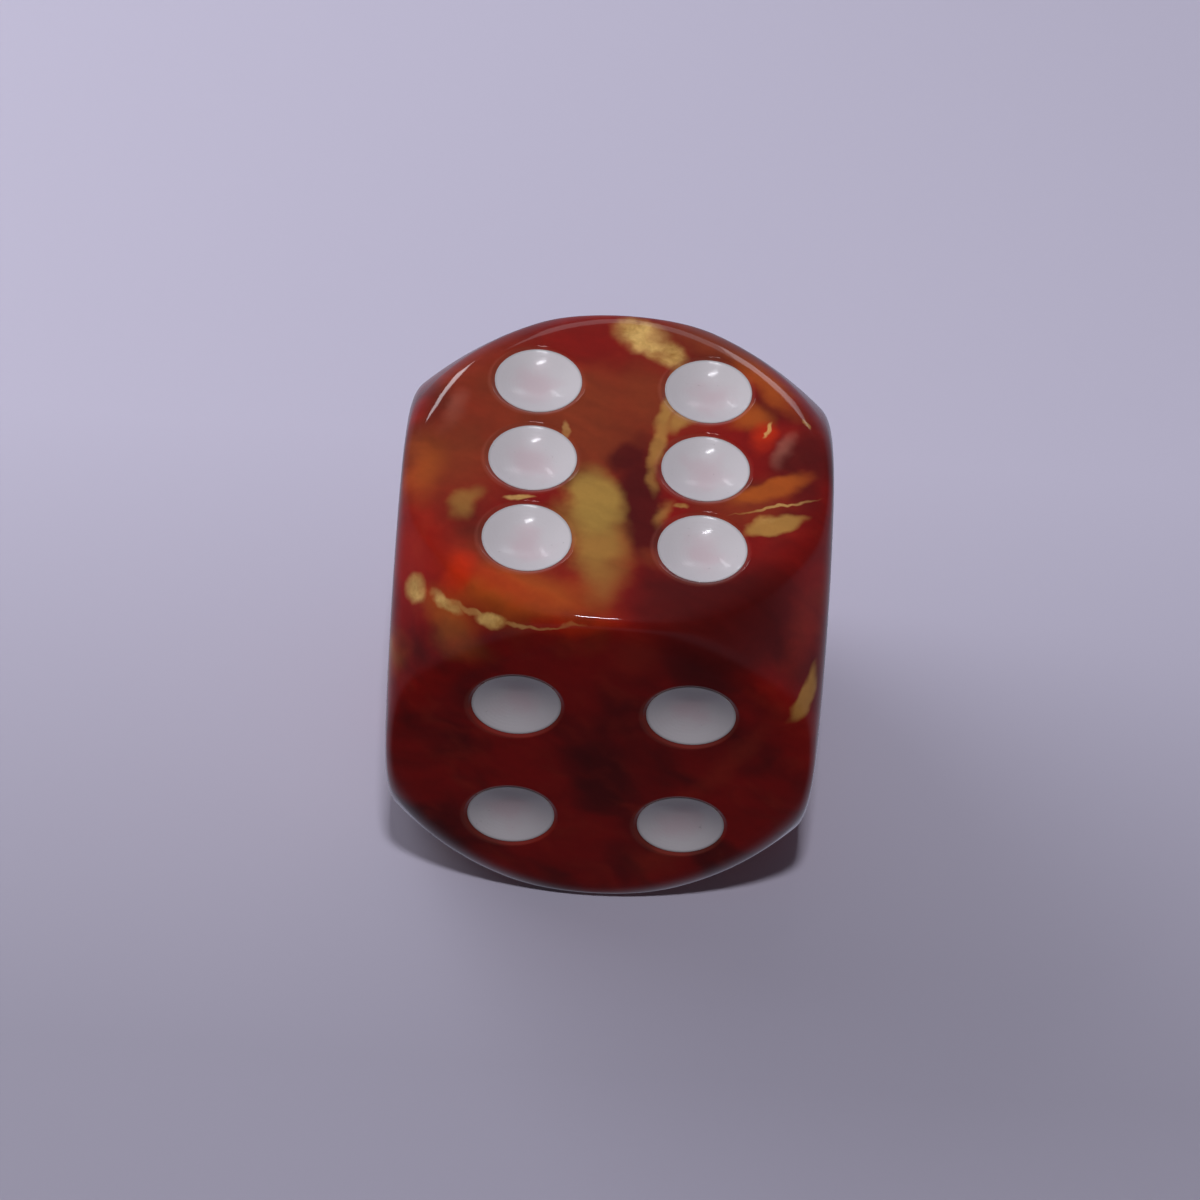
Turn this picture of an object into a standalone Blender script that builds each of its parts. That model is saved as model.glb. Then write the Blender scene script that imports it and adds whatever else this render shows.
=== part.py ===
"""A 16 mm round-cornered pipped die: one cast resin body and twenty-one painted pips.

The body stands on the origin with its bottom face at Z = 0. Six is on top, four faces -Y,
and opposite faces add up to seven. Every size is in metres.
"""

import math

import bmesh
import bpy
from mathutils import Euler, Vector

MM = 0.001

# The blank: a cube whose edges and corners are tumbled round.
SPAN = 16.0 * MM  # across two opposite faces
EDGE_TRIM = 0.064 * MM  # taken off the middle of each sharp edge by the tumbled cap
CORNER_TRIM = 2.85 * MM  # taken off each sharp corner by the tumbled cap
RIM_BLEND = 0.65 * MM  # depth of the soft transition from a flat face to the cap
EDGE_SOFTNESS = 0.03  # width of the rounding between two faces, as a slope difference

# The pips: shallow turned dishes, each lined with one coat of paint.
PIP_RADIUS = 1.78 * MM  # dish rim
PIP_DEPTH = 0.50 * MM  # dish centre below the face
PAINT_THICKNESS = 0.12 * MM
PAINT_GAP = 0.03 * MM  # clearance between the paint and the dish
PAINT_RECESS = 0.02 * MM  # paint edge below the face
CUT_CLEARANCE = 0.30 * MM  # how far a cutter stands proud of the face

# The layout: the pips of a face share the room inside its face circle.
FACE_MARGIN = 0.76 * MM  # from the die's side to the face circle
DIAGONAL_GAP_SHARE = 0.5  # of the free room on a diagonal, between the pips of a five
COLUMN_GAP_SHARE = 0.36  # of the free room in a column, between the pips of a six

# Mesh fineness.
FACE_CELLS = 20  # cells along one side of a face
FLAT_CELLS = 6  # rings of cells, from the middle of a face, that stay flat
PIP_SEGMENTS = 20
DISH_RINGS = 2

SHARP_ANGLE = math.radians(20)  # a steeper fold than this is drawn as an edge
MERGE_DISTANCE = PAINT_GAP / 100  # joins the points that a turned outline puts on its axis
HALVINGS = 40  # steps of the search for the flat circle

HALF = SPAN / 2

RESIN = {"base_color": (0.26, 0.018, 0.014), "roughness": 0.12, "metallic": 0.0}
PAINT = {"base_color": (0.72, 0.67, 0.68), "roughness": 0.30, "metallic": 0.0}

# Each face's value, and the turn that brings +Z round to its outward normal.
FACES = {
    "six": (0.0, 0.0, 0.0),
    "one": (math.pi, 0.0, 0.0),
    "four": (math.pi / 2, 0.0, 0.0),
    "three": (-math.pi / 2, 0.0, 0.0),
    "five": (0.0, math.pi / 2, 0.0),
    "two": (0.0, -math.pi / 2, 0.0),
}


def clear_scene():
    for obj in list(bpy.data.objects):
        bpy.data.objects.remove(obj, do_unlink=True)


def soft_min(a, b, width):
    """The smaller of two numbers, eased where they are closer than width."""
    near = max(width - abs(a - b), 0.0) / width
    return min(a, b) - near * near * width / 4


def cap_reach(direction, inset):
    """Distance from the die's centre to the rounded cap, or to the cap this far inside it."""
    edge_reach = HALF * math.sqrt(2) - EDGE_TRIM - inset
    corner_reach = HALF * math.sqrt(3) - CORNER_TRIM - inset
    power = math.log(2 / 3) / math.log(corner_reach / edge_reach / math.sqrt(1.5))
    norm = sum(abs(value) ** power for value in direction) ** (1 / power)
    return edge_reach * 2 ** (1 / power - 0.5) / norm


def reach(direction, inset):
    """Distance from the die's centre to its surface, or to the surface this far inside it."""
    largest, middle, _ = sorted((abs(value) for value in direction), reverse=True)
    slope = -soft_min(-largest, -middle, EDGE_SOFTNESS)
    return soft_min((HALF - inset) / slope, cap_reach(direction, inset), RIM_BLEND)


def cap_clearance(slope, turn):
    """Radial room between the flat face and the cap, at this slope and turn from its middle."""
    direction = Vector((slope * math.cos(turn), slope * math.sin(turn), 1.0)).normalized()
    return cap_reach(direction, 0.0) - HALF / direction.z


def flat_slope():
    """Slope, from the centre, of the largest circle that is flat in every direction."""
    low, high = 0.0, 1.0
    for _ in range(HALVINGS):
        slope = (low + high) / 2
        if min(cap_clearance(slope, turn) for turn in (0.0, math.pi / 8, math.pi / 4)) > RIM_BLEND:
            low = slope
        else:
            high = slope
    return low


def face_slopes(u, v, flat):
    """Where a cell corner of a cube face lies: flat circles inside, the square border outside."""
    ring = max(abs(u), abs(v))
    if ring == 0.0:
        return 0.0, 0.0
    turn = math.atan2(v, u)
    quarter = round(turn / (math.pi / 2)) * math.pi / 2
    across = math.tan(turn - quarter)
    circle_turn = quarter + across * math.pi / 4
    start = FLAT_CELLS / (FACE_CELLS / 2)
    radius = flat * min(ring / start, 1.0)
    circle = (radius * math.cos(circle_turn), radius * math.sin(circle_turn))
    border = (math.tan(u / ring * math.pi / 4), math.tan(v / ring * math.pi / 4))
    blend = max(ring - start, 0.0) / (1.0 - start)
    return tuple(c + (b - c) * blend for c, b in zip(circle, border))


def surface_point(corner, flat, inset):
    """Carries a cell corner of the unit cube to the die's surface."""
    axis = max(range(3), key=lambda i: abs(corner[i]))
    others = [i for i in range(3) if i != axis]
    direction = Vector()
    direction[axis] = math.copysign(1.0, corner[axis])
    slopes = face_slopes(corner[others[0]], corner[others[1]], flat)
    direction[others[0]], direction[others[1]] = slopes
    direction.normalize()
    return direction * reach(direction, inset)


def join_flats(bm):
    """Makes each face's flat circle one polygon."""
    limit = FLAT_CELLS / (FACE_CELLS / 2)
    flats = {}
    for face in bm.faces:
        middle = face.calc_center_median()
        axis = max(range(3), key=lambda i: abs(middle[i]))
        rest = [abs(middle[i]) for i in range(3) if i != axis]
        if max(rest) < limit:
            flats.setdefault((axis, middle[axis] > 0), []).append(face)
    for faces in flats.values():
        bmesh.ops.dissolve_faces(bm, faces=faces, use_verts=True)


def blank_mesh(name, inset):
    """The tumbled cube, centred on its own origin."""
    bm = bmesh.new()
    bmesh.ops.create_cube(bm, size=2.0)
    bmesh.ops.subdivide_edges(bm, edges=bm.edges[:], cuts=FACE_CELLS - 1, use_grid_fill=True)
    join_flats(bm)
    flat = flat_slope()
    for vert in bm.verts:
        vert.co = surface_point(vert.co, flat, inset)
    return finished_mesh(bm, name)


def finished_mesh(bm, name):
    bmesh.ops.recalc_face_normals(bm, faces=bm.faces[:])
    mesh = bpy.data.meshes.new(name)
    bm.to_mesh(mesh)
    bm.free()
    mesh.shade_smooth()
    mesh.set_sharp_from_angle(angle=SHARP_ANGLE)
    return mesh


def dish_profile(lift):
    """Points down one side of a dish, raised by lift, from above the face to the axis."""
    rim_slope = 2 * PIP_DEPTH / PIP_RADIUS
    top = CUT_CLEARANCE
    points = [(PIP_RADIUS + (top - lift) / rim_slope, top)]
    for ring in range(DISH_RINGS, -1, -1):
        radius = PIP_RADIUS * ring / DISH_RINGS
        points.append((radius, lift - PIP_DEPTH * (1 - (radius / PIP_RADIUS) ** 2)))
    return points


def turned_mesh(name, outline):
    """Spins a closed outline of (radius, height) points round the Z axis."""
    bm = bmesh.new()
    verts = [bm.verts.new((radius, 0.0, height)) for radius, height in outline]
    edges = [bm.edges.new(pair) for pair in zip(verts, verts[1:])]
    bmesh.ops.spin(
        bm,
        geom=verts + edges,
        cent=(0.0, 0.0, 0.0),
        axis=(0.0, 0.0, 1.0),
        angle=math.tau,
        steps=PIP_SEGMENTS,
        use_merge=True,
    )
    bmesh.ops.remove_doubles(bm, verts=bm.verts[:], dist=MERGE_DISTANCE)
    return finished_mesh(bm, name)


def cutter_mesh():
    """Everything above a dish."""
    outline = dish_profile(0.0)
    return turned_mesh("pip_cutter", [(0.0, CUT_CLEARANCE)] + outline)


def paint_mesh():
    """One coat that follows the dish, left long at its edge for the face to trim."""
    under = dish_profile(PAINT_GAP)
    over = dish_profile(PAINT_GAP + PAINT_THICKNESS)
    return turned_mesh("paint_coat", over[::-1] + under)


def make_material(name, finish):
    material = bpy.data.materials.new(name)
    material.use_nodes = True
    shader = material.node_tree.nodes["Principled BSDF"]
    shader.inputs["Base Color"].default_value = (*finish["base_color"], 1.0)
    shader.inputs["Roughness"].default_value = finish["roughness"]
    shader.inputs["Metallic"].default_value = finish["metallic"]
    material.diffuse_color = (*finish["base_color"], 1.0)
    return material


def add_object(name, mesh, collection, parent=None, location=(0.0, 0.0, 0.0)):
    obj = bpy.data.objects.new(name, mesh)
    collection.objects.link(obj)
    obj.parent = parent
    obj.location = location
    return obj


def add_part(name, mesh, finish, parent, location=(0.0, 0.0, 0.0)):
    part = add_object(name, mesh, bpy.context.scene.collection, parent, location)
    part.data.materials.clear()
    part.data.materials.append(make_material(name, finish))
    return part


def add_helper(name, mesh, collection, parent, location=(0.0, 0.0, 0.0)):
    """A cutter or a trimming tool, left out of the model."""
    helper = add_object(name, mesh, collection, parent, location)
    helper.hide_render = True
    helper.display_type = "WIRE"
    return helper


def add_boolean(part, name, operation):
    modifier = part.modifiers.new(name, "BOOLEAN")
    modifier.operation = operation
    modifier.solver = "EXACT"
    return modifier


def pip_layout():
    """Pip centres on each face, in the face's own X and Y."""
    circle = HALF - FACE_MARGIN
    diagonal = 2 * PIP_RADIUS + DIAGONAL_GAP_SHARE * (circle - 3 * PIP_RADIUS)
    side = diagonal / math.sqrt(2)
    column = math.sqrt(circle**2 - side**2)
    end = 2 * PIP_RADIUS + COLUMN_GAP_SHARE * (column - 3 * PIP_RADIUS)
    middle = [(0.0, 0.0)]
    pair = [(-side, -side), (side, side)]
    corners = pair + [(-side, side), (side, -side)]
    columns = [(x, y) for x in (-side, side) for y in (-end, 0.0, end)]
    return {
        "one": middle,
        "two": pair,
        "three": pair + middle,
        "four": corners,
        "five": corners + middle,
        "six": columns,
    }


def add_face_frame(face, turn, centre):
    """An empty in the middle of a face, its Z axis pointing out of the die."""
    frame = add_object(f"face_{face}", None, bpy.context.scene.collection, centre)
    frame.rotation_euler = turn
    frame.location = Euler(turn).to_matrix() @ Vector((0.0, 0.0, HALF))
    return frame


def build():
    clear_scene()
    model = bpy.context.scene.collection
    cutters = bpy.data.collections.new("pip_cutters")
    model.children.link(cutters)
    centre = add_object("die_centre", None, model)
    centre.location = (0.0, 0.0, HALF)

    body = add_part("die_body", blank_mesh("die_body", 0.0), RESIN, centre)
    trim = add_helper("paint_trim", blank_mesh("paint_trim", PAINT_RECESS), model, centre)

    for face, places in pip_layout().items():
        frame = add_face_frame(face, FACES[face], centre)
        for number, (x, y) in enumerate(places, start=1):
            where = (x, y, 0.0)
            add_helper(f"cut_{face}_{number}", cutter_mesh(), cutters, frame, where)
            pip = add_part(f"pip_{face}_{number}", paint_mesh(), PAINT, frame, where)
            add_boolean(pip, "trim to face", "INTERSECT").object = trim

    dishes = add_boolean(body, "pip dishes", "DIFFERENCE")
    dishes.operand_type = "COLLECTION"
    dishes.collection = cutters


build()
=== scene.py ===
"""Gives a 16 mm swirl-resin die its finish and sets it on a soft-lit stage.

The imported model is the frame: the blank and the paint coats are made round its boxes.
Sizes are in metres. Places in the resin and the paint are in mm from the middle of the
die or of the pip.
"""

import math

import bmesh
import bpy
from bpy.props import FloatProperty, FloatVectorProperty, IntProperty, PointerProperty
from bpy.types import Operator, Panel, PropertyGroup
from mathutils import Euler, Matrix, Vector


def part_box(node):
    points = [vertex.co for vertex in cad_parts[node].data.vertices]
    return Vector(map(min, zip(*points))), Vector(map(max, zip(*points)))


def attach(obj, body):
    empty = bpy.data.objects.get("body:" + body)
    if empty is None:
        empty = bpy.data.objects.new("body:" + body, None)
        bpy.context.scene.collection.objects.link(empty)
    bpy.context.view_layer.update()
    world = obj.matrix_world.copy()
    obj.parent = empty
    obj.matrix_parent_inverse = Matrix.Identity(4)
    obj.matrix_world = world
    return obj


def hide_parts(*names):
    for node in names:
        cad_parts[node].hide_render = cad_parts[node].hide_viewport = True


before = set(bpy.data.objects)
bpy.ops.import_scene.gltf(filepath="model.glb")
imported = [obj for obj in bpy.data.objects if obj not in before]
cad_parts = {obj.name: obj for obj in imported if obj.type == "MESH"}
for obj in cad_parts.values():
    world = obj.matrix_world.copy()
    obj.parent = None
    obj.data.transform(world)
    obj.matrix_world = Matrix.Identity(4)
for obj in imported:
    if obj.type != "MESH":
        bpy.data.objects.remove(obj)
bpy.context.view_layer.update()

bl_info = {
    "name": "Swirl resin die",
    "version": (1, 0, 0),
    "blender": (4, 5, 0),
    "location": "3D View > Sidebar > Die",
    "description": "Casts, paints and lights a round-cornered die of swirled resin",
    "category": "Add Mesh",
}

MM = 0.001

BODY_LOW, BODY_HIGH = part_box("die_body")
CENTRE = (BODY_LOW + BODY_HIGH) / 2
HALF = (BODY_HIGH.z - BODY_LOW.z) / 2

HALVINGS = 40  # steps in the search for the largest flat circle
MERGE_DISTANCE = 1e-4 * MM
LIP_STEPS = 5  # facets round the lip of a dish
BOWL_RINGS = 8
CUTTER_TOP = 0.5 * MM  # how far a dish cutter stands above its face
CUTTER_RISE = 0.004 * MM  # how far its brim runs on past the lip
FILM_RINGS = 18
FILM_FEATHER = 10  # the higher, the later a paint film thins towards its edge
FILM_SHARE = 0.985  # a film's radius over that of its packed paint coat
FLAT_WEIGHT = 80  # how strongly large facets set the shading of small ones

# Each face's value, and the turn that brings +Z round to its outward normal.
FACES = {
    "six": (0.0, 0.0, 0.0),
    "one": (math.pi, 0.0, 0.0),
    "four": (math.pi / 2, 0.0, 0.0),
    "three": (-math.pi / 2, 0.0, 0.0),
    "five": (0.0, math.pi / 2, 0.0),
    "two": (0.0, -math.pi / 2, 0.0),
}


def tint(red, green, blue):
    """A screen colour, 0 to 255, as the linear values that Blender keeps."""
    return tuple(
        value / 12.92 if value <= 0.04045 else ((value + 0.055) / 1.055) ** 2.4
        for value in (red / 255, green / 255, blue / 255)
    )


def size_prop(name, description, default):
    return FloatProperty(
        name=name,
        description=description,
        default=default,
        min=0.0,
        unit="LENGTH",
        precision=5,
    )


def share_prop(name, description, default):
    return FloatProperty(
        name=name,
        description=description,
        default=default,
        min=0.0,
        max=1.0,
        subtype="FACTOR",
    )


def count_prop(name, description, default, least):
    return IntProperty(
        name=name, description=description, default=default, min=least
    )


def colour_prop(name, description, default):
    return FloatVectorProperty(
        name=name,
        description=description,
        default=default,
        min=0.0,
        max=1.0,
        size=3,
        subtype="COLOR",
    )


# Settings -----------------------------------------------------------------------------


class DieBlankSettings(PropertyGroup):
    edge_trim: size_prop(
        "Edge trim", "Taken off the middle of each sharp edge", 0.064 * MM
    )
    corner_trim: size_prop("Corner trim", "Taken off each sharp corner", 2.85 * MM)
    rim_blend: size_prop(
        "Rim blend", "Depth of the roll from a flat face to the cap", 0.65 * MM
    )
    edge_softness: share_prop("Edge softness", "Rounding where two faces meet", 0.03)
    cells: count_prop("Cells", "Mesh cells along a face", 72, 20)


class DiePipSettings(PropertyGroup):
    dish_radius: size_prop("Dish radius", "Rim of a turned dish", 1.78 * MM)
    dish_depth: size_prop("Dish depth", "Dish centre below the face", 0.50 * MM)
    lip_radius: size_prop("Lip radius", "Polished rounding of the dish rim", 0.16 * MM)
    film: size_prop("Paint film", "Thickness of the paint in the dish", 0.045 * MM)
    film_gap: size_prop("Film gap", "Clearance under the paint film", 0.008 * MM)
    segments: count_prop("Segments", "Steps round a dish", 80, 24)


class DieSwirlSettings(PropertyGroup):
    deep_red: colour_prop("Deep red", "Resin away from the light", tint(134, 16, 9))
    warm_red: colour_prop("Warm red", "Resin where the swirl thins", tint(146, 40, 22))
    maroon: colour_prop("Maroon", "The darkest resin", tint(82, 13, 10))
    brown: colour_prop("Brown", "Resin over buried gold", tint(136, 57, 26))
    amber: colour_prop("Amber", "Gold seen through red resin", tint(178, 86, 26))
    # Painted glow: the orange of light shining through the resin, painted into its
    # colour.
    painted_glow: colour_prop("Ember", "Resin that glows from within", tint(196, 44, 6))
    olive: colour_prop("Olive gold", "Pearl cloud in the resin", tint(172, 134, 62))
    honey: colour_prop("Honey", "Broad ribbon of buried gold", tint(182, 132, 64))
    # Gold and gold shade are the painted lit side and the painted shaded side of the
    # same foil.
    gold: colour_prop("Gold", "Lit side of a flake", tint(250, 206, 122))
    gold_shade: colour_prop("Gold shade", "Dark side of a flake", tint(150, 92, 26))
    # Pale milk in the resin; the same colour also lays in a painted reflection on the
    # right of the top and the painted fringe round each pip.
    milk_and_painted_reflection: colour_prop("Haze", "Pale milk under the resin", tint(190, 120, 100))


class DiePaintSettings(PropertyGroup):
    pearl: colour_prop("Pearl white", "Paint at the rim of a pip", tint(203, 199, 200))
    blush: colour_prop("Blush", "Paint in the middle of a pip", tint(203, 184, 188))
    # Soil colours the dust specks and the darker rim of each pip's paint.
    dust_and_rim_tone: colour_prop("Soil", "Wear and dust in the paint", tint(128, 124, 122))


class DieStageSettings(PropertyGroup):
    floor: colour_prop("Floor", "Plain pale floor", tint(206, 203, 221))
    air: colour_prop("Air", "Soft light from all round", tint(214, 212, 238))
    daylight: colour_prop("Daylight", "Tint of the large lights", tint(250, 248, 255))
    fill: colour_prop("Fill", "Tint of the light from the front", tint(255, 244, 236))
    focal_length: FloatProperty(
        name="Focal length",
        description="Of the long lens, in mm",
        default=129.21,
        min=20.0,
    )
    distance: size_prop("Distance", "From the camera to where it aims", 164.5 * MM)


# Shape of the blank -------------------------------------------------------------------


def soft_min(a, b, width):
    """The smaller of two numbers, eased where they are closer than width."""
    near = max(width - abs(a - b), 0.0) / width
    return min(a, b) - near * near * width / 4


class Blank:
    """The tumbled cube: flat faces that roll over into one rounded cap."""

    FLAT_SHARE = 0.6  # part of a face's cells that stay flat

    def __init__(self, settings):
        self.rim_blend = settings.rim_blend
        self.edge_softness = settings.edge_softness
        self.cells = settings.cells
        edge_reach = HALF * math.sqrt(2) - settings.edge_trim
        corner_reach = HALF * math.sqrt(3) - settings.corner_trim
        stretch = corner_reach / edge_reach / math.sqrt(1.5)
        self.power = math.log(2 / 3) / math.log(stretch)
        self.cap_scale = edge_reach * 2 ** (1 / self.power - 0.5)
        self.flat = self.flat_slope()

    def cap(self, direction):
        total = sum(abs(value) ** self.power for value in direction)
        return self.cap_scale / total ** (1 / self.power)

    def reach(self, direction):
        """Distance from the centre to the surface."""
        largest, middle, _ = sorted((abs(value) for value in direction), reverse=True)
        cube = HALF / -soft_min(-largest, -middle, self.edge_softness)
        return soft_min(cube, self.cap(direction), self.rim_blend)

    def room(self, slope, turn):
        """Room between the flat face and the cap, this way out from the middle."""
        direction = Vector((slope * math.cos(turn), slope * math.sin(turn), 1.0))
        direction.normalize()
        return self.cap(direction) - HALF / direction.z

    def flat_slope(self):
        """Slope of the largest circle that is flat in every direction."""
        turns = (0.0, math.pi / 8, math.pi / 4)
        low, high = 0.0, 1.0
        for _ in range(HALVINGS):
            slope = (low + high) / 2
            if min(self.room(slope, turn) for turn in turns) > self.rim_blend:
                low = slope
            else:
                high = slope
        return low

    def slopes(self, u, v):
        """Where a cell corner lies: circles in the flat part, squares at the border."""
        ring = max(abs(u), abs(v))
        if ring == 0.0:
            return 0.0, 0.0
        turn = math.atan2(v, u)
        quarter = round(turn / (math.pi / 2)) * math.pi / 2
        circle_turn = quarter + math.tan(turn - quarter) * math.pi / 4
        radius = self.flat * min(ring / self.FLAT_SHARE, 1.0)
        circle = (radius * math.cos(circle_turn), radius * math.sin(circle_turn))
        border = (math.tan(u / ring * math.pi / 4), math.tan(v / ring * math.pi / 4))
        blend = max(ring - self.FLAT_SHARE, 0.0) / (1.0 - self.FLAT_SHARE)
        return tuple(c + (b - c) * blend for c, b in zip(circle, border))

    def point(self, corner):
        axis = max(range(3), key=lambda i: abs(corner[i]))
        others = [i for i in range(3) if i != axis]
        direction = Vector()
        direction[axis] = math.copysign(1.0, corner[axis])
        slopes = self.slopes(corner[others[0]], corner[others[1]])
        direction[others[0]], direction[others[1]] = slopes
        direction.normalize()
        return CENTRE + direction * self.reach(direction)

    def mesh(self, name):
        bm = bmesh.new()
        bmesh.ops.create_cube(bm, size=2.0)
        bmesh.ops.subdivide_edges(
            bm, edges=bm.edges[:], cuts=self.cells - 1, use_grid_fill=True
        )
        flats = {}
        for face in bm.faces:
            middle = face.calc_center_median()
            axis = max(range(3), key=lambda i: abs(middle[i]))
            if max(abs(middle[i]) for i in range(3) if i != axis) < self.FLAT_SHARE:
                flats.setdefault((axis, middle[axis] > 0), []).append(face)
        for faces in flats.values():
            bmesh.ops.dissolve_faces(bm, faces=faces, use_verts=True)
        for vert in bm.verts:
            vert.co = self.point(vert.co)
        return mesh_from(bm, name)


def mesh_from(bm, name):
    bmesh.ops.recalc_face_normals(bm, faces=bm.faces[:])
    mesh = bpy.data.meshes.new(name)
    bm.to_mesh(mesh)
    bm.free()
    mesh.shade_smooth()
    return mesh


def turned(name, outline, segments):
    """Spins a closed outline of (radius, height) points round the Z axis."""
    bm = bmesh.new()
    verts = [bm.verts.new((radius, 0.0, height)) for radius, height in outline]
    edges = [bm.edges.new(pair) for pair in zip(verts, verts[1:])]
    bmesh.ops.spin(
        bm,
        geom=verts + edges,
        cent=(0.0, 0.0, 0.0),
        axis=(0.0, 0.0, 1.0),
        angle=math.tau,
        steps=segments,
        use_merge=True,
    )
    bmesh.ops.remove_doubles(bm, verts=bm.verts[:], dist=MERGE_DISTANCE)
    return mesh_from(bm, name)


def dish_height(pips, radius):
    return -pips.dish_depth * (1 - (radius / pips.dish_radius) ** 2)


def cutter_outline(pips):
    """The hollow of a dish with its rolled lip, closed well above the face."""
    steep = math.atan(2 * pips.dish_depth / pips.dish_radius)
    run = pips.lip_radius * math.tan(steep / 2)
    arc_centre = (pips.dish_radius + run, -pips.lip_radius)
    lip = []
    for step in range(LIP_STEPS + 1):
        turn = steep * step / LIP_STEPS
        lip.append(
            (
                arc_centre[0] - pips.lip_radius * math.sin(turn),
                arc_centre[1] + pips.lip_radius * math.cos(turn),
            )
        )
    first, second = lip[0], lip[1]
    outward = CUTTER_RISE * (first[0] - second[0]) / (first[1] - second[1])
    brim = (first[0] + outward, CUTTER_RISE)
    start = lip[-1][0]
    bowl = [start * (1 - ring / BOWL_RINGS) for ring in range(1, BOWL_RINGS + 1)]
    return (
        [(0.0, CUTTER_TOP), (brim[0], CUTTER_TOP), brim]
        + lip
        + [(radius, dish_height(pips, radius)) for radius in bowl]
    )


def film_outline(pips, radius):
    """The paint film: it follows the dish and feathers out below the lip."""
    under, over = [], []
    for ring in range(FILM_RINGS + 1):
        share = math.sin(math.pi / 2 * ring / FILM_RINGS)
        thinning = math.sqrt(max(1 - share**FILM_FEATHER, 0.0))
        at = radius * share
        low = dish_height(pips, at) + pips.film_gap
        under.append((at, low))
        over.append((at, low + pips.film * thinning))
    return over + under[-2::-1]


# Shader graph -------------------------------------------------------------------------


class Graph:
    """Adds nodes to one material, and joins them."""

    def __init__(self, name):
        self.material = bpy.data.materials.new(name)
        self.material.use_nodes = True
        self.tree = self.material.node_tree
        self.shader = self.tree.nodes["Principled BSDF"]

    def add(self, kind, inputs=None, **settings):
        node = self.tree.nodes.new(kind)
        for key, value in settings.items():
            setattr(node, key, value)
        for key, value in (inputs or {}).items():
            self.feed(node.inputs[key], value)
        return node

    def feed(self, socket, value):
        if isinstance(value, bpy.types.NodeSocket):
            self.tree.links.new(value, socket)
        elif socket.type == "RGBA" and len(value) == 3:
            socket.default_value = (*value, 1.0)
        else:
            socket.default_value = value

    def set(self, **values):
        """Sets or links the shader's own sockets, named with _ for a space."""
        for key, value in values.items():
            self.feed(self.shader.inputs[key.replace("_", " ")], value)

    def math(self, operation, *values, clamp=False):
        node = self.add("ShaderNodeMath", operation=operation, use_clamp=clamp)
        for socket, value in zip(node.inputs, values):
            self.feed(socket, value)
        return node.outputs[0]

    def vector(self, operation, *values):
        node = self.add("ShaderNodeVectorMath", operation=operation)
        for socket, value in zip(node.inputs, values):
            self.feed(socket, value)
        single = operation in ("LENGTH", "DISTANCE")
        return node.outputs["Value" if single else "Vector"]

    def spread(self, value):
        """One number as all three parts of a vector."""
        parts = {0: value, 1: value, 2: value}
        return self.add("ShaderNodeCombineXYZ", parts).outputs[0]

    def scaled(self, vector, factor):
        node = self.add("ShaderNodeVectorMath", operation="SCALE")
        self.feed(node.inputs[0], vector)
        self.feed(node.inputs["Scale"], factor)
        return node.outputs[0]

    def times(self, first, second):
        return self.math("MULTIPLY", first, second)

    def ease(self, value, low, high, to_low=0.0, to_high=1.0):
        """Carries low..high to to_low..to_high, smoothly and clamped."""
        node = self.add(
            "ShaderNodeMapRange",
            {0: value, 1: low, 2: high, 3: to_low, 4: to_high},
            interpolation_type="SMOOTHSTEP",
        )
        return node.outputs[0]

    def line(self, value, low, high, to_low=0.0, to_high=1.0):
        """Carries low..high to to_low..to_high in a straight line, clamped."""
        node = self.add(
            "ShaderNodeMapRange", {0: value, 1: low, 2: high, 3: to_low, 4: to_high}
        )
        return node.outputs[0]

    def mix(self, share, first, second):
        node = self.add("ShaderNodeMix", data_type="RGBA")
        self.feed(node.inputs[0], share)
        self.feed(node.inputs[6], first)
        self.feed(node.inputs[7], second)
        return node.outputs[2]

    def noise(self, vector, scale, detail=2.0, roughness=0.5, output=0):
        """Soft noise: output 0 is one number, output 1 a colour of three."""
        node = self.add(
            "ShaderNodeTexNoise",
            {
                "Vector": vector,
                "Scale": scale,
                "Detail": detail,
                "Roughness": roughness,
            },
        )
        return node.outputs[output]

    def place(self, vector, centre, size, turn=(0.0, 0.0, 0.0)):
        """The vector as seen from a feature: its centre at 0, its rim at 1."""
        node = self.add(
            "ShaderNodeMapping",
            {
                "Vector": vector,
                "Location": centre,
                "Rotation": tuple(math.radians(value) for value in turn),
                "Scale": size,
            },
            vector_type="TEXTURE",
        )
        return node.outputs[0]

    def bump(self, height, strength, distance):
        inputs = {"Strength": strength, "Distance": distance, "Height": height}
        return self.add("ShaderNodeBump", inputs).outputs[0]
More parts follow.
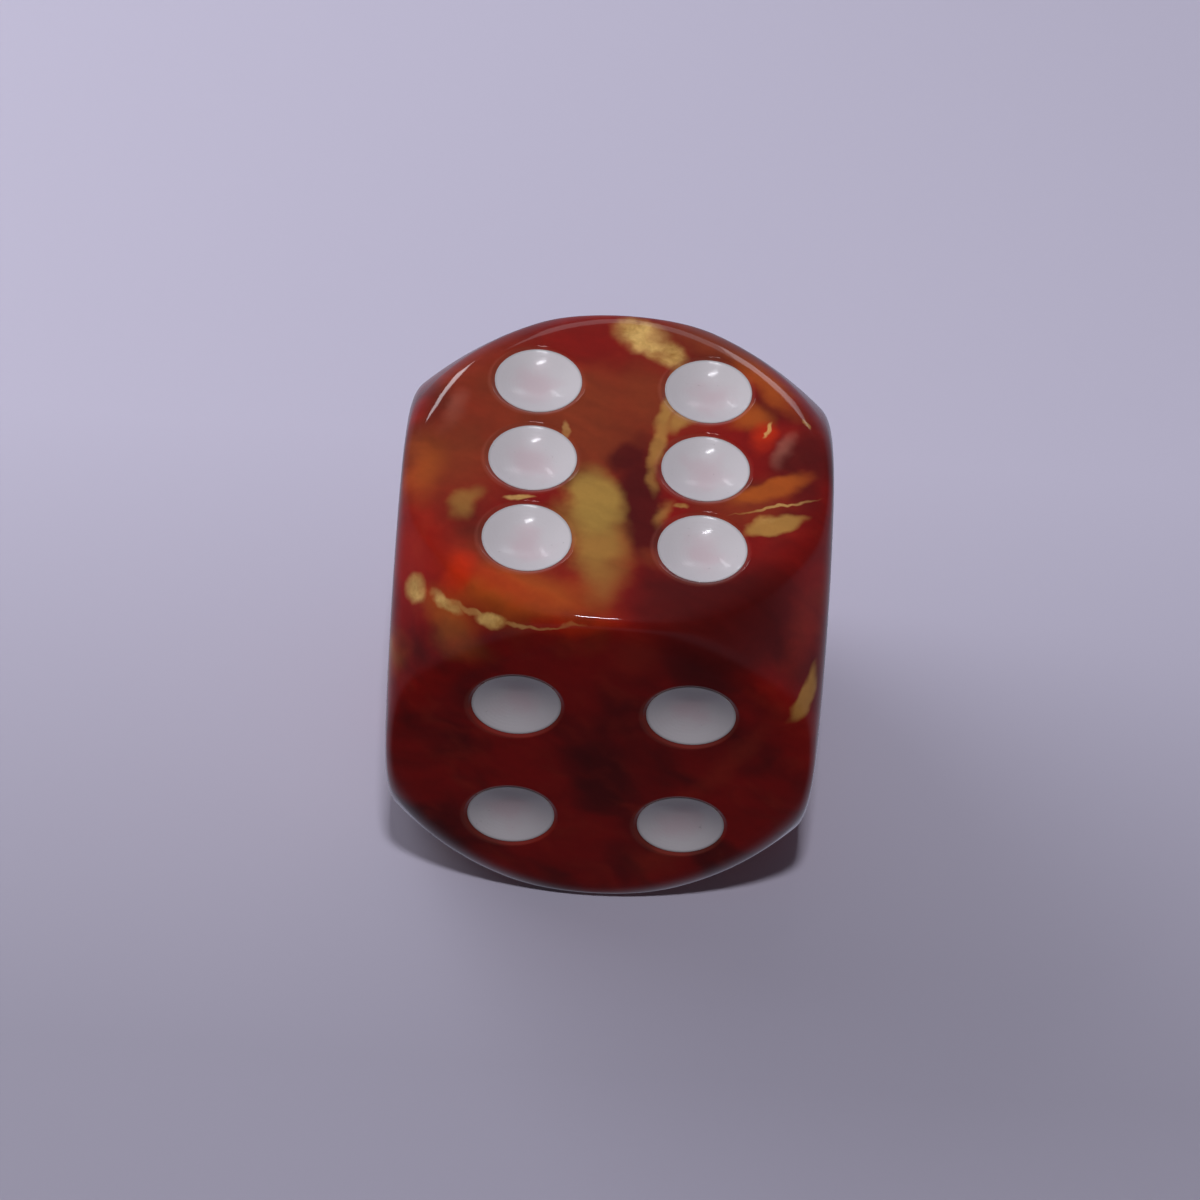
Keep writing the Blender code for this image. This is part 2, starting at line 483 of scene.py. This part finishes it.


# Resin --------------------------------------------------------------------------------

# Soft clouds in the resin, each laid over those before it: colour, centre and radii,
# turn in degrees, softness of the edge from 0 to 1, and strength. The glowing orange
# clouds are painted glow: light shining through the resin, painted into its colour.
CLOUDS = (
    # top face
    ("brown", (-1.6, 3.0, 8.0), (4.6, 3.6, 2.5), (0, 0, 10), 0.9, 0.85),
    ("deep_red", (-1.4, 5.9, 8.0), (3.0, 1.5, 2.5), (0, 0, 0), 0.8, 0.85),
    ("brown", (0.9, 3.6, 8.0), (0.9, 1.7, 2.0), (0, 0, 0), 0.6, 0.6),
    ("brown", (-5.6, 4.0, 7.5), (2.4, 2.6, 2.6), (0, 0, -30), 0.9, 0.45),
    ("milk_and_painted_reflection", (-6.3, 2.1, 8.0), (0.45, 1.1, 1.6), (0, 0, -25), 0.9, 0.28),
    # Painted reflection: a pale streak of mirrored window light on the right of the
    # top.
    ("milk_and_painted_reflection", (6.15, 1.1, 8.0), (0.4, 0.9, 1.4), (0, 0, -12), 0.8, 0.4),
    ("brown", (-6.0, -0.4, 8.0), (2.6, 2.6, 2.6), (0, 0, 0), 0.9, 0.8),
    ("amber", (-7.1, -0.8, 7.6), (0.9, 1.6, 2.4), (0, 0, 0), 0.9, 0.55),
    ("painted_glow", (-7.0, -4.3, 7.6), (1.7, 1.7, 2.6), (0, 0, 0), 0.9, 0.22),
    ("brown", (-3.9, -5.2, 8.0), (2.2, 1.8, 2.2), (0, 0, -20), 0.9, 0.7),
    ("amber", (-3.2, -6.6, 7.6), (3.2, 1.0, 2.0), (0, 0, -12), 0.8, 0.7),
    ("painted_glow", (-4.4, -6.0, 7.8), (2.4, 0.5, 1.8), (0, 0, -28), 0.9, 0.5),
    ("painted_glow", (-5.7, -5.4, 8.0), (0.75, 0.8, 1.6), (0, 0, 0), 0.9, 1.0),
    ("brown", (-1.2, 0.6, 8.0), (1.6, 1.6, 2.0), (0, 0, 0), 0.9, 0.6),
    ("maroon", (4.6, -6.2, 7.6), (3.8, 2.0, 3.0), (0, 0, 4), 0.7, 0.95),
    ("maroon", (2.2, -6.6, 7.4), (1.8, 1.8, 3.0), (0, 0, 0), 0.7, 0.9),
    ("maroon", (0.9, -2.2, 8.0), (0.95, 3.4, 1.8), (0, 0, 4), 0.45, 0.95),
    ("maroon", (0.15, 0.35, 8.0), (0.75, 0.75, 1.8), (0, 0, 0), 0.4, 0.9),
    ("maroon", (7.1, 0.2, 7.5), (0.9, 3.2, 2.6), (0, 0, 0), 0.7, 0.7),
    ("deep_red", (4.2, -4.0, 8.0), (2.4, 1.2, 2.2), (0, 0, 0), 0.7, 0.6),
    ("brown", (1.3, -4.6, 8.0), (0.8, 0.5, 1.6), (0, 0, 0), 0.9, 0.5),
    ("amber", (4.7, 2.7, 8.0), (0.9, 0.8, 1.8), (0, 0, 0), 0.7, 0.8),
    # Painted glint: a bright red spark of light in the resin beside the amber patch.
    ("painted_glow", (5.25, 1.7, 8.0), (0.5, 0.8, 1.6), (0, 0, 0), 0.8, 0.95),
    ("brown", (3.4, 6.6, 7.4), (2.6, 1.1, 2.4), (0, 0, -25), 0.8, 0.8),
    ("amber", (5.4, 4.5, 7.6), (0.7, 1.9, 2.4), (0, 0, 40), 0.8, 0.75),
    ("brown", (4.6, -1.6, 8.0), (1.9, 1.1, 1.6), (0, 0, 20), 0.8, 0.7),
    ("amber", (5.7, -0.85, 8.0), (1.9, 0.46, 1.4), (0, 0, 27), 0.5, 0.9),
    ("olive", (-0.9, -1.8, 8.0), (1.0, 1.8, 1.6), (0, 0, 8), 0.45, 0.92),
    ("olive", (-1.5, -2.9, 8.0), (0.9, 1.1, 1.5), (0, 0, -30), 0.9, 0.45),
    ("olive", (-0.7, -4.1, 8.0), (1.1, 2.7, 1.6), (0, 0, 6), 0.7, 0.72),
    ("brown", (-0.2, -5.2, 8.0), (0.6, 0.5, 1.2), (0, 0, 20), 0.9, 0.4),
    ("olive", (-5.3, -2.6, 8.0), (0.5, 0.85, 1.4), (0, 0, -35), 0.7, 0.5),
    ("honey", (1.75, 3.4, 8.0), (0.42, 1.9, 1.4), (0, 0, -14), 0.4, 0.9),
    ("honey", (2.3, 2.4, 8.0), (0.45, 0.9, 1.4), (0, 0, -30), 0.5, 0.85),
    ("honey", (1.45, 1.0, 8.0), (0.36, 1.3, 1.4), (0, 0, -10), 0.5, 0.75),
    ("honey", (1.35, -0.9, 8.0), (0.25, 0.9, 1.2), (0, 0, 6), 0.8, 0.5),
    ("honey", (1.75, -2.5, 8.0), (0.28, 0.55, 1.2), (0, 0, -40), 0.8, 0.5),
    ("honey", (5.65, -2.5, 8.0), (1.2, 0.44, 1.3), (0, 0, 17), 0.35, 0.95),
    # rounded edge between the top and the front
    ("amber", (-6.2, -6.4, 6.6), (1.7, 1.4, 0.5), (0, -12, 0), 0.9, 0.6),
    ("painted_glow", (-1.4, -7.8, 7.5), (1.8, 0.8, 0.28), (0, -6, 0), 0.9, 0.45),
    # front face
    ("olive", (-5.4, -7.4, 6.2), (1.5, 1.4, 0.7), (0, 10, 0), 0.9, 0.14),
    ("maroon", (-3.6, -7.8, 6.9), (1.8, 2.2, 0.9), (0, 0, 0), 0.9, 0.6),
    ("warm_red", (1.0, -8.0, 6.4), (1.1, 2.0, 1.0), (0, 0, 0), 0.9, 0.5),
    ("maroon", (4.0, -8.0, 6.6), (2.4, 2.6, 1.6), (0, 0, 0), 0.7, 0.9),
    ("warm_red", (7.2, -7.4, 6.8), (0.9, 2.6, 1.8), (0, 8, 0), 0.8, 0.6),
    ("warm_red", (4.9, -8.0, 0.9), (0.5, 1.8, 3.0), (0, 30, 0), 0.9, 0.5),
    ("warm_red", (2.2, -8.0, -5.4), (1.2, 2.0, 1.0), (0, 20, 0), 0.9, 0.45),
    ("maroon", (0.6, -8.0, 1.6), (2.2, 1.8, 4.2), (0, 0, 0), 0.9, 0.45),
    ("honey", (7.25, -7.3, 4.1), (0.36, 1.6, 0.95), (0, 22, 0), 0.4, 0.85),
)

# Foil flakes: centre and radii, turn in degrees, and strength.
FLAKES = (
    # top face
    ((0.55, 6.65, 7.8), (1.15, 0.85, 1.6), (0, 0, -30), 1.0),
    ((1.45, 5.85, 8.0), (1.05, 0.65, 1.4), (0, 0, -42), 1.0),
    ((2.35, -2.05, 8.0), (0.28, 0.14, 1.0), (0, 0, 10), 0.9),
    ((5.8, -1.75, 8.0), (1.6, 0.07, 1.2), (0, 0, 19), 0.7),
    ((5.3, -2.55, 8.0), (0.6, 0.16, 1.3), (0, 0, 17), 0.6),
    ((-3.6, -2.1, 8.0), (0.55, 0.12, 1.0), (0, 0, 8), 0.8),
    ((-2.0, 1.5, 8.0), (0.13, 0.4, 1.0), (0, 0, 10), 0.6),
    ((5.45, 2.1, 8.0), (0.08, 0.45, 1.0), (0, 0, -15), 0.7),
    ((6.9, 2.6, 7.8), (0.1, 0.35, 1.0), (0, 0, 35), 0.8),
    # rounded edge at the front left: gold foil with painted glints, bright sparks of
    # light along the edge
    ((-7.1, -5.5, 6.5), (0.42, 0.6, 0.55), (0, 0, 15), 1.0),
    ((-6.0, -6.4, 6.75), (0.8, 0.7, 0.2), (0, -5, 0), 0.95),
    ((-4.9, -6.9, 7.02), (1.5, 1.2, 0.09), (0, -9, 0), 0.6),
    ((-4.2, -7.2, 7.10), (0.6, 0.8, 0.2), (0, -16, 0), 0.95),
    ((-2.6, -7.6, 7.42), (2.0, 0.6, 0.06), (0, -11, 0), 0.35),
)
FLAKE_EDGE = 0.5  # softness, as for the clouds

# Layers of colour on the other faces. Each eases in as its noise goes from the first
# value to the second: noise, the two values, strength and colour.
HIDDEN_LAYERS = (
    ("lode", 0.47, 0.60, 0.80, "brown"),
    # The glowing orange layer is painted glow of light shining through the resin.
    ("ore", 0.60, 0.70, 0.75, "painted_glow"),
    ("lode", 0.57, 0.66, 0.75, "amber"),
    ("lode", 0.63, 0.69, 0.85, "olive"),
    ("ore", 0.30, 0.20, 0.80, "maroon"),
)
# Height above the middle of the die, towards the top or the front, where none of these
# layers shows, and where they are at full strength.
PLACED_FROM, HIDDEN_FROM = 7.4, 5.6

# How far the stirring moves the resin, and the value of the noise that leaves it still.
STILL = (0.5, 0.5, 0.5)
BROAD_STIR, FINE_STIR, CREASE_STIR = 1.6, 0.4, 0.45

# A painted reflection of the pips' white paint, seen through the clear resin, lies as a
# faint pale fringe round each pip, wider on one side: shift from the pip's middle,
# where it ends, where it is full, and strength.
CRESCENT_SHIFT = (-0.09, -0.08, -0.04)
CRESCENT_OUTER, CRESCENT_INNER, CRESCENT_STRENGTH = 1.87, 1.74, 0.11


def resin_coordinates(graph):
    """Places in the die as they are, stirred into a swirl, and creased like foil."""
    place = graph.add("ShaderNodeTexCoord").outputs["Object"]
    shifted = graph.vector("SUBTRACT", place, tuple(CENTRE))
    still = graph.scaled(shifted, 1 / MM)
    broad = graph.noise(still, 0.34, 2.0, 0.5, output=1)
    fine = graph.noise(still, 1.5, 2.0, 0.5, output=1)
    stirred = still
    for swirl, amount in ((broad, BROAD_STIR), (fine, FINE_STIR)):
        offset = graph.vector("SUBTRACT", swirl, STILL)
        stirred = graph.vector("ADD", stirred, graph.scaled(offset, amount))
    crease = graph.vector("SUBTRACT", fine, STILL)
    creased = graph.vector("ADD", still, graph.scaled(crease, CREASE_STIR))
    return still, stirred, creased


def cloud_share(graph, vector, centre, size, turn, edge, strength):
    """Full strength inside a cloud, easing to 0 a little outside its radius."""
    distance = graph.vector("LENGTH", graph.place(vector, centre, size, turn))
    return graph.ease(distance, 1.0 + edge / 2, 1.0 - edge, 0.0, strength)


def far_from_worked_faces(graph, still):
    """0 on the two faces whose clouds are placed one by one, 1 on the others."""
    parts = graph.add("ShaderNodeSeparateXYZ", {0: still}).outputs
    nearest = graph.math("MAXIMUM", parts[2], graph.times(parts[1], -1.0))
    return graph.ease(nearest, PLACED_FROM, HIDDEN_FROM)


def resin_material(colours):
    """Red resin with buried gold clouds and foil, under a clear polished coat."""
    graph = Graph("swirl_resin")
    still, stirred, creased = resin_coordinates(graph)
    away = far_from_worked_faces(graph, still)

    def pick(name):
        return tuple(getattr(colours, name))

    # The red resin itself: long soft streaks of lighter and darker red.
    flow = graph.place(stirred, (0.0, 0.0, 0.0), (1.9, 1.3, 1.0), (20, 35, 25))
    drift = graph.noise(flow, 0.42, 2.0, 0.5)
    colour = graph.mix(graph.ease(drift, 0.30, 0.60), pick("maroon"), pick("deep_red"))
    wisps = graph.noise(flow, 0.9, 3.0, 0.5)
    thin = graph.ease(wisps, 0.48, 0.80, 0.0, 0.45)
    colour = graph.mix(thin, colour, pick("warm_red"))

    # Hidden faces: clouds of buried gold with brown skirts, drawn out by the stirring.
    drawn = graph.place(stirred, (3.0, 1.0, 5.0), (1.7, 1.0, 1.0), (25, 15, 40))
    sources = {
        "lode": graph.noise(drawn, 0.27, 2.0, 0.45),
        "ore": graph.noise(drawn, 0.42, 2.0, 0.5),
    }
    for source, low, high, strength, name in HIDDEN_LAYERS:
        layer = graph.ease(sources[source], low, high, 0.0, strength)
        colour = graph.mix(graph.times(layer, away), colour, pick(name))

    for name, centre, size, turn, edge, strength in CLOUDS:
        share = cloud_share(graph, stirred, centre, size, turn, edge, strength)
        colour = graph.mix(share, colour, pick(name))

    # Foil flakes: crumpled gold, with painted highlights and painted shade on its
    # creases, and painted glints.
    flakes = None
    for centre, size, turn, strength in FLAKES:
        share = cloud_share(graph, creased, centre, size, turn, FLAKE_EDGE, strength)
        flakes = share if flakes is None else graph.math("MAXIMUM", flakes, share)
    worn = graph.line(graph.noise(still, 0.9, 1.0, 0.5), 0.38, 0.56, 0.55, 1.0)
    flakes = graph.times(flakes, worn)
    patches = graph.noise(stirred, 0.33, 2.0, 0.5)
    loose = graph.times(graph.ease(patches, 0.64, 0.69, 0.0, 0.9), away)
    flakes = graph.math("MAXIMUM", flakes, loose)
    crumple_place = graph.place(creased, (0.0, 0.0, 0.0), (1.9, 0.8, 1.1), (0, 0, 25))
    crumple = graph.add(
        "ShaderNodeTexVoronoi",
        {"Vector": crumple_place, "Scale": 0.7, "Randomness": 1.0, "Smoothness": 0.35},
        feature="SMOOTH_F1",
    ).outputs["Distance"]
    # Glitter paints small glints into the foil's colour, and also roughens its bump.
    glitter = graph.noise(creased, 3.2, 2.0, 0.6)
    painted_foil_light = graph.math(
        "ADD",
        graph.line(crumple, 0.1, 0.75, 1.0, 0.3),
        graph.line(glitter, 0.3, 0.75, -0.14, 0.22),
        clamp=True,
    )
    foil = graph.mix(painted_foil_light, pick("gold_shade"), pick("gold"))
    colour = graph.mix(flakes, colour, foil)

    # Long faint streaks and a fine grain keep the clouds from looking airbrushed.
    strand = graph.place(stirred, (0.0, 0.0, 0.0), (3.4, 0.8, 1.1), (12, 10, -22))
    streaks = graph.noise(strand, 1.1, 2.0, 0.5)
    grain = graph.noise(still, 3.0, 4.0, 0.65)
    shade = graph.times(
        graph.line(streaks, 0.3, 0.7, 0.91, 1.10),
        graph.line(grain, 0.25, 0.75, 0.94, 1.06),
    )
    colour = graph.vector("MULTIPLY", colour, graph.spread(shade))

    # Painted reflection: a pale fringe round each pip, the paint seen through the
    # resin.
    nearest = None
    for _, place, _, _ in pip_nodes():
        spot = tuple((place - CENTRE) / MM + Vector(CRESCENT_SHIFT))
        reach = graph.vector("DISTANCE", still, spot)
        nearest = reach if nearest is None else graph.math("MINIMUM", nearest, reach)
    crescent = graph.ease(
        nearest, CRESCENT_OUTER, CRESCENT_INNER, 0.0, CRESCENT_STRENGTH
    )
    colour = graph.mix(crescent, colour, pick("milk_and_painted_reflection"))

    foil_height = graph.math("ADD", crumple, graph.times(glitter, 0.3))
    foil_normal = graph.bump(foil_height, graph.times(flakes, 0.4), 0.06 * MM)
    wave = graph.noise(still, 0.9, 2.0, 0.5)
    handled = graph.noise(still, 11.0, 3.0, 0.6)
    skin = graph.math("ADD", wave, graph.times(handled, 0.012))
    coat_normal = graph.bump(skin, 0.2, 0.02 * MM)

    graph.set(
        Base_Color=colour,
        Metallic=graph.times(flakes, 0.25),
        Roughness=graph.line(flakes, 0.0, 1.0, 0.5, 0.32),
        IOR=1.45,
        Specular_IOR_Level=0.1,
        Coat_Weight=1.0,
        Coat_Roughness=0.04,
        Coat_IOR=1.36,
        Normal=foil_normal,
        Coat_Normal=coat_normal,
    )
    return graph.material


# Paint --------------------------------------------------------------------------------

RIM_DARKENS_FROM = 0.93  # share of a pip's radius where the paint begins to darken towards its rim
TURNING_RINGS = 46.0  # radians of tool mark per mm, from the middle outwards


def paint_material(colours, radius):
    """Pearl paint: fine turning rings, a blush in the middle, specks of dust and a
    darker rim.
    """
    graph = Graph("pip_pearl_paint")
    place = graph.scaled(graph.add("ShaderNodeTexCoord").outputs["Object"], 1 / MM)
    parts = graph.add("ShaderNodeSeparateXYZ", {0: place}).outputs
    flat = graph.add("ShaderNodeCombineXYZ", {0: parts[0], 1: parts[1]}).outputs[0]
    distance = graph.vector("LENGTH", flat)
    which = graph.add("ShaderNodeObjectInfo").outputs["Random"]
    shift = graph.scaled((1.0, 1.0, 1.0), graph.times(which, 40.0))
    own = graph.vector("ADD", place, shift)

    cloud = graph.noise(own, 0.9, 3.0, 0.55)
    wander = graph.line(cloud, 0.3, 0.7, -0.35, 0.35)
    middle = graph.ease(graph.math("ADD", distance, wander), 1.25, 0.1, 0.0, 0.8)
    colour = graph.mix(middle, tuple(colours.pearl), tuple(colours.blush))
    speck = graph.ease(graph.noise(own, 5.5, 3.0, 0.6), 0.68, 0.76, 0.0, 0.35)
    rim = radius / MM
    # The paint darkens towards its rim.
    rim_darkening = graph.ease(distance, rim * RIM_DARKENS_FROM, rim, 0.0, 0.45)
    specks_and_darker_rim = graph.math("MAXIMUM", speck, rim_darkening)
    colour = graph.mix(specks_and_darker_rim, colour, tuple(colours.dust_and_rim_tone))

    rings = graph.math("SINE", graph.times(distance, TURNING_RINGS))
    height = graph.math(
        "ADD", graph.times(rings, 0.12), graph.noise(own, 6.0, 3.0, 0.6)
    )
    graph.set(
        Base_Color=colour,
        Roughness=graph.line(cloud, 0.3, 0.7, 0.36, 0.46),
        IOR=1.5,
        Coat_Weight=0.3,
        Coat_Roughness=0.10,
        Coat_IOR=1.5,
        Normal=graph.bump(height, 0.35, 0.012 * MM),
    )
    return graph.material


# Stage --------------------------------------------------------------------------------

# Lights: name, azimuth and elevation in degrees, distance, width, height, brightness,
# and True for a light that is only mirrored in the gloss, or False for one that only
# lights the surfaces.
LIGHTS = (
    ("lamp_soft", 0.0, 71.0, 0.40, 0.030, 0.030, 268.0, False),
    ("side_soft", -124.0, 30.0, 0.17, 0.14, 0.14, 2.3, False),
    ("back_soft", -157.0, 52.0, 0.14, 0.12, 0.12, 0.4, False),
    ("front_fill", 18.0, 24.0, 0.40, 0.30, 0.20, 0.35, False),
    ("window", -162.0, 31.0, 0.26, 0.012, 0.075, 8.5, True),
    ("window_far", 175.0, 31.0, 0.30, 0.12, 0.055, 1.1, True),
    ("window_right", 165.0, 30.0, 0.30, 0.05, 0.05, 2.2, True),
    ("lamp", -161.0, 83.0, 0.50, 0.080, 0.022, 70.0, True),
)

# Air: axis of the direction looked in, its range, the brightness at either end, and how
# the step joins those before. The air is brightest behind the die, dim overhead, and
# dimmest below and in front.
AIR_STEPS = (
    ("Z", -0.30, 0.0, 0.14, 0.55, None),
    ("Y", -0.62, 0.0, 0.0, 1.0, "MAXIMUM"),
    ("Z", 0.10, 0.50, 0.42, 0.10, "MULTIPLY"),
)

FLOOR_HALF = 0.28
# The floor's colour is darker in front of the die, a painted shade for light that falls
# off towards the front: how far from its middle the change runs, and the share of the
# colour that is left.
FLOOR_FADE = 0.016
FLOOR_FRONT_SHARE = 0.64

CAMERA_TURN = (-0.504, 48.468, 4.063)  # azimuth, elevation and roll in degrees
CAMERA_AIM = (-0.333 * MM, 0.209 * MM)  # to the right of the die's centre, and above it
SENSOR_WIDTH = 36.0  # mm
CAMERA_CLIP = (0.01, 10.0)


def add_object(name, data):
    obj = bpy.data.objects.new(name, data)
    bpy.context.scene.collection.objects.link(obj)
    return obj


def face_frame(face):
    """A face's turn and its middle."""
    turn = Euler(FACES[face]).to_matrix()
    return turn, CENTRE + turn @ Vector((0.0, 0.0, HALF))


def pip_nodes():
    """Each pip's node, its place on the face, its turn and half its width."""
    for name in sorted(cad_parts):
        if not name.startswith("pip_"):
            continue
        face = name.split("_")[1]
        turn, middle = face_frame(face)
        low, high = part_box(name)
        offset = turn.transposed() @ ((low + high) / 2 - middle)
        offset.z = 0.0
        size = turn.transposed() @ (high - low)
        yield name, middle + turn @ offset, turn, abs(size.x) / 2


def toward(azimuth, elevation):
    """The direction from the die at these angles, counted from the front and level."""
    return Vector(
        (
            math.sin(azimuth) * math.cos(elevation),
            -math.cos(azimuth) * math.cos(elevation),
            math.sin(elevation),
        )
    )


def apply_modifiers(obj):
    """Leaves the object with its evaluated mesh and no modifiers."""
    graph = bpy.context.evaluated_depsgraph_get()
    mesh = bpy.data.meshes.new_from_object(obj.evaluated_get(graph))
    obj.modifiers.clear()
    obj.data = mesh


# Operators ----------------------------------------------------------------------------


class DIE_OT_cast_body(Operator):
    """Cast the resin body with its twenty-one turned dishes"""

    bl_idname = "die.cast_body"
    bl_label = "Cast body"
    bl_options = {"REGISTER", "UNDO"}

    def execute(self, context):
        scene = context.scene
        body = add_object("resin_body", Blank(scene.die_blank).mesh("resin_body"))
        cutters = bpy.data.collections.new("dish_cutters")
        scene.collection.children.link(cutters)
        pips = scene.die_pips
        cutter = turned("dish_cutter", cutter_outline(pips), pips.segments)
        made = []
        for name, place, turn, _ in pip_nodes():
            obj = bpy.data.objects.new("cut_" + name, cutter)
            obj.matrix_world = Matrix.Translation(place) @ turn.to_4x4()
            cutters.objects.link(obj)
            made.append(obj)
        if not made:
            raise RuntimeError("the frame has no pips to cut dishes for")
        cut = body.modifiers.new("dishes", "BOOLEAN")
        cut.operation = "DIFFERENCE"
        cut.solver = "EXACT"
        cut.operand_type = "COLLECTION"
        cut.collection = cutters
        apply_modifiers(body)
        for obj in made:
            bpy.data.objects.remove(obj)
        bpy.data.collections.remove(cutters)
        level = body.modifiers.new("level faces", "WEIGHTED_NORMAL")
        level.mode = "FACE_AREA"
        level.weight = FLAT_WEIGHT
        body.data.materials.clear()
        body.data.materials.append(resin_material(scene.die_swirl))
        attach(body, "root")
        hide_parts("die_body")
        return {"FINISHED"}


class DIE_OT_paint_pips(Operator):
    """Lay a film of pearl paint in every dish"""

    bl_idname = "die.paint_pips"
    bl_label = "Paint pips"
    bl_options = {"REGISTER", "UNDO"}

    def execute(self, context):
        scene = context.scene
        pips = scene.die_pips
        paint = None
        for name, place, turn, half_width in pip_nodes():
            radius = half_width * FILM_SHARE
            if paint is None:
                paint = paint_material(scene.die_paint, radius)
            title = name.replace("pip_", "film_")
            mesh = turned(title, film_outline(pips, radius), pips.segments)
            film = add_object(title, mesh)
            film.matrix_world = Matrix.Translation(place) @ turn.to_4x4()
            film.data.materials.append(paint)
            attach(film, "root")
            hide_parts(name)
        return {"FINISHED"}


class DIE_OT_set_stage(Operator):
    """Set the pale floor, the soft lights and the camera"""

    bl_idname = "die.set_stage"
    bl_label = "Set stage"
    bl_options = {"REGISTER", "UNDO"}

    def execute(self, context):
        stage = context.scene.die_stage
        self.lay_floor(stage)
        self.fill_air(context.scene, stage)
        self.hang_lights(stage)
        self.aim_camera(context.scene, stage)
        view = context.scene.view_settings
        view.view_transform = "Standard"
        view.look = "None"
        return {"FINISHED"}

    def lay_floor(self, stage):
        bm = bmesh.new()
        bmesh.ops.create_grid(bm, x_segments=8, y_segments=8, size=FLOOR_HALF)
        floor = add_object("floor", mesh_from(bm, "floor"))
        floor.location.z = BODY_LOW.z
        # The air below the horizon stands in for the floor in gloss and bounced light.
        floor.visible_glossy = False
        floor.visible_diffuse = False
        graph = Graph("pale_floor")
        place = graph.add("ShaderNodeTexCoord").outputs["Object"]
        far = graph.add("ShaderNodeSeparateXYZ", {0: place}).outputs[1]
        base = tuple(stage.floor)
        # Painted shade: the floor colour darkens towards the front.
        painted_front_shade = tuple(value * FLOOR_FRONT_SHARE for value in base)
        tooth = graph.noise(place, 900.0, 3.0, 0.6)
        behind = graph.line(far, -FLOOR_FADE, FLOOR_FADE)
        graph.set(
            Base_Color=graph.mix(behind, painted_front_shade, base),
            Roughness=0.75,
            Specular_IOR_Level=0.2,
            Normal=graph.bump(tooth, 0.08, 0.05 * MM),
        )
        floor.data.materials.append(graph.material)

    def fill_air(self, scene, stage):
        """Dim air, brightest behind the die, as before a pale wall."""
        limits = ("From Min", "From Max", "To Min", "To Max")
        world = bpy.data.worlds.new("soft_air")
        world.use_nodes = True
        tree = world.node_tree
        ground = tree.nodes["Background"]
        place = tree.nodes.new("ShaderNodeTexCoord")
        parts = tree.nodes.new("ShaderNodeSeparateXYZ")
        tree.links.new(place.outputs["Generated"], parts.inputs[0])
        glow = None
        for axis, *values, join in AIR_STEPS:
            step = tree.nodes.new("ShaderNodeMapRange")
            step.interpolation_type = "SMOOTHSTEP"
            tree.links.new(parts.outputs[axis], step.inputs["Value"])
            for key, value in zip(limits, values):
                step.inputs[key].default_value = value
            part = step.outputs[0]
            if glow is not None:
                both = tree.nodes.new("ShaderNodeMath")
                both.operation = join
                tree.links.new(glow, both.inputs[0])
                tree.links.new(part, both.inputs[1])
                part = both.outputs[0]
            glow = part
        tree.links.new(glow, ground.inputs["Strength"])
        ground.inputs["Color"].default_value = (*stage.air, 1.0)
        scene.world = world

    def hang_lights(self, stage):
        for name, azimuth, elevation, distance, width, height, glow, shiny in LIGHTS:
            light = bpy.data.lights.new(name, "AREA")
            light.shape = "RECTANGLE"
            light.size, light.size_y = width, height
            # The power that makes a light of this area as bright as asked.
            light.energy = glow * math.pi * width * height
            light.color = tuple(stage.fill if name == "front_fill" else stage.daylight)
            obj = add_object(name, light)
            back = toward(math.radians(azimuth), math.radians(elevation))
            obj.location = CENTRE + back * distance
            obj.rotation_euler = back.to_track_quat("Z", "Y").to_euler()
            obj.visible_camera = False
            obj.visible_glossy = shiny
            obj.visible_diffuse = not shiny

    def aim_camera(self, scene, stage):
        azimuth, elevation, roll = (math.radians(angle) for angle in CAMERA_TURN)
        back = toward(azimuth, elevation)
        right = Vector((math.cos(azimuth), math.sin(azimuth), 0.0))
        up = back.cross(right)
        across = right * math.cos(roll) + up * math.sin(roll)
        upward = up * math.cos(roll) - right * math.sin(roll)
        data = bpy.data.cameras.new("camera")
        data.sensor_width = SENSOR_WIDTH
        data.lens = stage.focal_length
        data.clip_start, data.clip_end = CAMERA_CLIP
        camera = add_object("camera", data)
        aim = CENTRE + across * CAMERA_AIM[0] + upward * CAMERA_AIM[1]
        turn = Matrix((across, upward, back)).transposed().to_4x4()
        camera.matrix_world = Matrix.Translation(aim + back * stage.distance) @ turn
        scene.camera = camera


class VIEW3D_PT_die(Panel):
    """Lists the steps that make the die"""

    bl_idname = "VIEW3D_PT_die"
    bl_label = "Swirl resin die"
    bl_space_type = "VIEW_3D"
    bl_region_type = "UI"
    bl_category = "Die"

    def draw(self, context):
        for operator in OPERATORS:
            self.layout.operator(operator.bl_idname)
        for name, group in SETTINGS.items():
            box = self.layout.box()
            for key in group.__annotations__:
                box.prop(getattr(context.scene, name), key)


OPERATORS = (DIE_OT_cast_body, DIE_OT_paint_pips, DIE_OT_set_stage)
SETTINGS = {
    "die_blank": DieBlankSettings,
    "die_pips": DiePipSettings,
    "die_swirl": DieSwirlSettings,
    "die_paint": DiePaintSettings,
    "die_stage": DieStageSettings,
}


def register():
    for cls in (*SETTINGS.values(), *OPERATORS, VIEW3D_PT_die):
        bpy.utils.register_class(cls)
    for name, group in SETTINGS.items():
        setattr(bpy.types.Scene, name, PointerProperty(type=group))


def unregister():
    for name in SETTINGS:
        delattr(bpy.types.Scene, name)
    for cls in reversed((*SETTINGS.values(), *OPERATORS, VIEW3D_PT_die)):
        bpy.utils.unregister_class(cls)


def main():
    register()
    for operator in OPERATORS:
        group, name = operator.bl_idname.split(".")
        if getattr(getattr(bpy.ops, group), name)() != {"FINISHED"}:
            raise RuntimeError(f"{operator.bl_label} did not finish")


if __name__ == "__main__":
    main()
